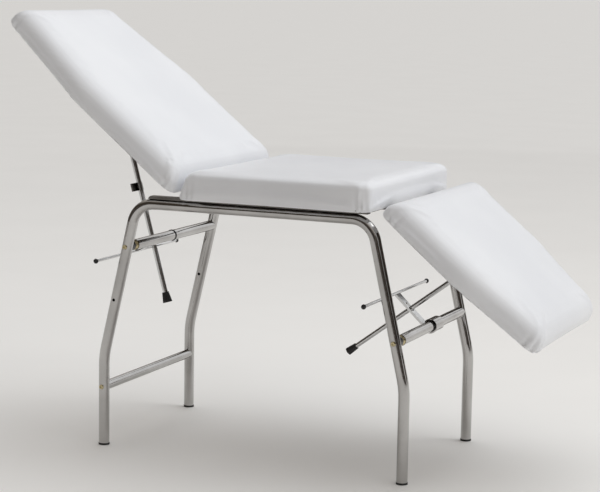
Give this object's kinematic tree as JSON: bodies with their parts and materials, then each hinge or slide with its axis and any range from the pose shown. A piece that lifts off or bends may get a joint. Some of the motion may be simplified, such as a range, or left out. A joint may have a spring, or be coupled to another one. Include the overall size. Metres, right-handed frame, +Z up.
{
  "type": "facial treatment bed",
  "caption": "Three-section treatment bed: tilting padded back and leg rest on a bent chrome tube frame, held by strut rods in swivelling friction levers.",
  "frame": {"origin": "on the floor, under the middle of the bed's box at rest", "axes": "+X from the head end to the foot end, +Y away from the release-sleeve side, +Z up"},
  "size_m": [1.4986, 0.6, 1.1449],
  "materials": {
    "chrome_tube": "polished chrome on bent steel tube",
    "dark_steel": "dark nickelled flat steel",
    "chrome_bar": "polished chrome on round and flat bar",
    "zinc_steel": "yellow zinc plated",
    "black_rubber": "matt black rubber",
    "black_plastic": "black moulded plastic",
    "plywood": "dark stained plywood",
    "white_vinyl": "smooth white upholstery vinyl over foam"
  },
  "bodies": {
    "frame": {"near_side_tube": "chrome_tube", "far_side_tube": "chrome_tube", "near_top_rail": "dark_steel", "far_top_rail": "dark_steel", "rubber_feet": "black_rubber", "head_axle": "chrome_tube", "head_spacer_tube": "chrome_tube", "head_saddle_bush": "black_plastic", "head_joint_ring": "black_plastic", "head_return_spring": "zinc_steel", "foot_axle": "chrome_tube", "foot_spacer_tube": "chrome_tube", "foot_saddle_bush": "black_plastic", "foot_joint_ring": "black_plastic", "foot_return_spring": "zinc_steel", "lower_crossbar": "chrome_tube", "foot_stop_collar": "chrome_tube", "crossbar_end_plugs": "zinc_steel", "crossbar_screws": "zinc_steel", "seat_board": "plywood", "seat_cushion": "white_vinyl", "back_hinge_seat_leaves": "dark_steel", "back_hinge_pins": "zinc_steel", "leg_hinge_seat_leaves": "dark_steel", "leg_hinge_pins": "zinc_steel"},
    "back": {"back_board": "plywood", "back_cushion": "white_vinyl", "back_hinge_pad_leaves": "dark_steel", "back_strut_bracket": "dark_steel", "back_strut_pin": "zinc_steel"},
    "leg": {"leg_board": "plywood", "leg_cushion": "white_vinyl", "leg_hinge_pad_leaves": "dark_steel", "leg_strut_bracket": "dark_steel", "leg_strut_pin": "zinc_steel"},
    "back_strut": {"back_strut_rod": "chrome_bar", "back_strut_cap": "black_rubber", "back_strut_stop_plate": "dark_steel"},
    "leg_strut": {"leg_strut_rod": "chrome_bar", "leg_strut_cap": "black_rubber"},
    "back_lever": {"back_lever_sleeve": "chrome_tube", "back_lever_arm": "chrome_bar", "back_release_bar": "chrome_bar", "back_release_knobs": "black_plastic"},
    "leg_lever": {"leg_lever_sleeve": "chrome_tube", "leg_lever_arm": "chrome_bar", "leg_release_bar": "chrome_bar", "leg_release_knobs": "black_plastic"}
  },
  "joints": [
    {"name": "back_tilt", "type": "hinge", "parent": "frame", "child": "back", "pos_m": [-0.2159, 0, 0.6645], "axis": [0, 1, 0], "range_deg": [-38.6, 31.2]},
    {"name": "leg_tilt", "type": "hinge", "parent": "frame", "child": "leg", "pos_m": [0.338, 0, 0.6645], "axis": [0, 1, 0], "range_deg": [-40, 20]},
    {"name": "back_strut_swing", "type": "hinge", "parent": "back", "child": "back_strut", "pos_m": [-0.53988, -0.013, 0.90869], "axis": [0, 1, 0], "range_deg": [-5.8, 7.1]},
    {"name": "leg_strut_swing", "type": "hinge", "parent": "leg", "child": "leg_strut", "pos_m": [0.48823, -0.013, 0.52231], "axis": [0, 1, 0], "range_deg": [-14.8, 29.4]},
    {"name": "back_lever_swivel", "type": "hinge", "parent": "frame", "child": "back_lever", "pos_m": [-0.37904, 0, 0.5335], "axis": [0, 1, 0], "range_deg": [-31.8, 25.8]},
    {"name": "leg_lever_swivel", "type": "hinge", "parent": "frame", "child": "leg_lever", "pos_m": [0.36778, 0, 0.351], "axis": [0, 1, 0], "range_deg": [-11, 5.6]}
  ],
  "couplings": [
    {"joint": "back_strut_swing", "follows": "back_tilt", "ratio": -0.18},
    {"joint": "back_lever_swivel", "follows": "back_tilt", "ratio": 0.82},
    {"joint": "leg_strut_swing", "follows": "leg_tilt", "ratio": -0.73},
    {"joint": "leg_lever_swivel", "follows": "leg_tilt", "ratio": 0.27}
  ]
}
